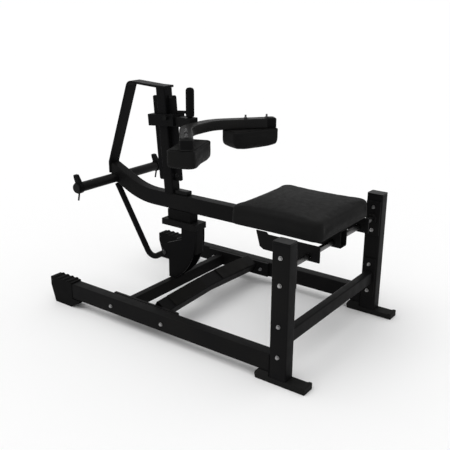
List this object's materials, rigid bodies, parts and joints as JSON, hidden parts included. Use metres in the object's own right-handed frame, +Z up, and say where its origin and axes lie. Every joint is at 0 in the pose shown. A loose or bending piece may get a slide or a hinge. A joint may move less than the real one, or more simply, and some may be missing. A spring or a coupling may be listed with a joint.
{
  "type": "calf raise machine",
  "caption": "Seated calf raise machine: welded base, seat lever with mast and weight bar, sliding yoke with thigh pads, and a safety catch.",
  "frame": {"origin": "on the floor, under the middle of the machine's outer box", "axes": "+Z up, +X towards the seat's rear, +Y towards the user's right side"},
  "size_m": [1.502, 0.9066, 1.0977],
  "materials": {
    "frame_paint": "satin black powder coat",
    "rubber": "matt black moulded rubber",
    "plastic": "satin black moulded plastic",
    "vinyl": "black grained vinyl",
    "board": "black painted board",
    "bolt_steel": "blackened steel"
  },
  "bodies": {
    "base": {"base_rail_left": "frame_paint", "base_rail_right": "frame_paint", "beam_plate_left": "frame_paint", "beam_plate_right": "frame_paint", "catch_pin": "bolt_steel", "cross_tube": "frame_paint", "foot_bar": "frame_paint", "foot_tread_left": "rubber", "foot_tread_right": "rubber", "front_boot_left": "rubber", "front_boot_right": "rubber", "pivot_shaft": "bolt_steel", "post_cheek_left": "frame_paint", "post_cheek_right": "frame_paint", "post_stem": "frame_paint", "rail_plate_left": "frame_paint", "rail_plate_right": "frame_paint", "rear_beam": "frame_paint", "rear_foot_left": "rubber", "rear_foot_right": "rubber", "shaft_bolt_left_1": "bolt_steel", "shaft_bolt_left_2": "bolt_steel", "shaft_bolt_right_1": "bolt_steel", "shaft_bolt_right_2": "bolt_steel", "shaft_flange_left": "frame_paint", "shaft_flange_right": "frame_paint", "stop_bumper": "rubber", "stop_head": "frame_paint", "upright_cap_left": "plastic", "upright_cap_right": "plastic", "upright_left": "frame_paint", "upright_right": "frame_paint"},
    "lever": {"arm_lug": "plastic", "lever_arm": "frame_paint", "mast_fin_front": "frame_paint", "mast_fin_rear": "frame_paint", "mast_tube": "frame_paint", "seat_board": "board", "seat_pad": "vinyl", "seat_plate_left": "frame_paint", "seat_plate_right": "frame_paint", "strap": "frame_paint", "weight_bar": "frame_paint"},
    "carriage": {"carriage_sleeve": "frame_paint", "carriage_stem": "frame_paint", "grip": "rubber", "grip_strut": "frame_paint", "pad_board_left": "board", "pad_board_right": "board", "pad_bolt_left_1": "bolt_steel", "pad_bolt_left_2": "bolt_steel", "pad_bolt_right_1": "bolt_steel", "pad_bolt_right_2": "bolt_steel", "thigh_pad_left": "vinyl", "thigh_pad_right": "vinyl", "yoke": "frame_paint"},
    "pull_pin": {"pull_pin": "bolt_steel"},
    "catch": {"safety_catch": "frame_paint"},
    "collar_left": {"collar_left": "frame_paint"},
    "collar_right": {"collar_right": "frame_paint"}
  },
  "joints": [
    {"name": "lever_pivot", "type": "hinge", "parent": "base", "child": "lever", "pos_m": [0.62, 0, 0.5], "axis": [0, 1, 0], "range_deg": [0, 12]},
    {"name": "carriage_slide", "type": "slide", "parent": "lever", "child": "carriage", "axis": [-0.0802, 0, 0.9968], "range_m": [-0.294, 0.098]},
    {"name": "pull_pin_slide", "type": "slide", "parent": "carriage", "child": "pull_pin", "axis": [0, 1, 0], "range_m": [0, 0.012]},
    {"name": "catch_pivot", "type": "hinge", "parent": "base", "child": "catch", "pos_m": [-0.331, 0, 0.236], "axis": [0, -1, 0], "range_deg": [0, 25]},
    {"name": "collar_left_slide", "type": "slide", "parent": "lever", "child": "collar_left", "axis": [0, 1, 0], "range_m": [0, 0.2]},
    {"name": "collar_right_slide", "type": "slide", "parent": "lever", "child": "collar_right", "axis": [0, -1, 0], "range_m": [0, 0.2]}
  ]
}
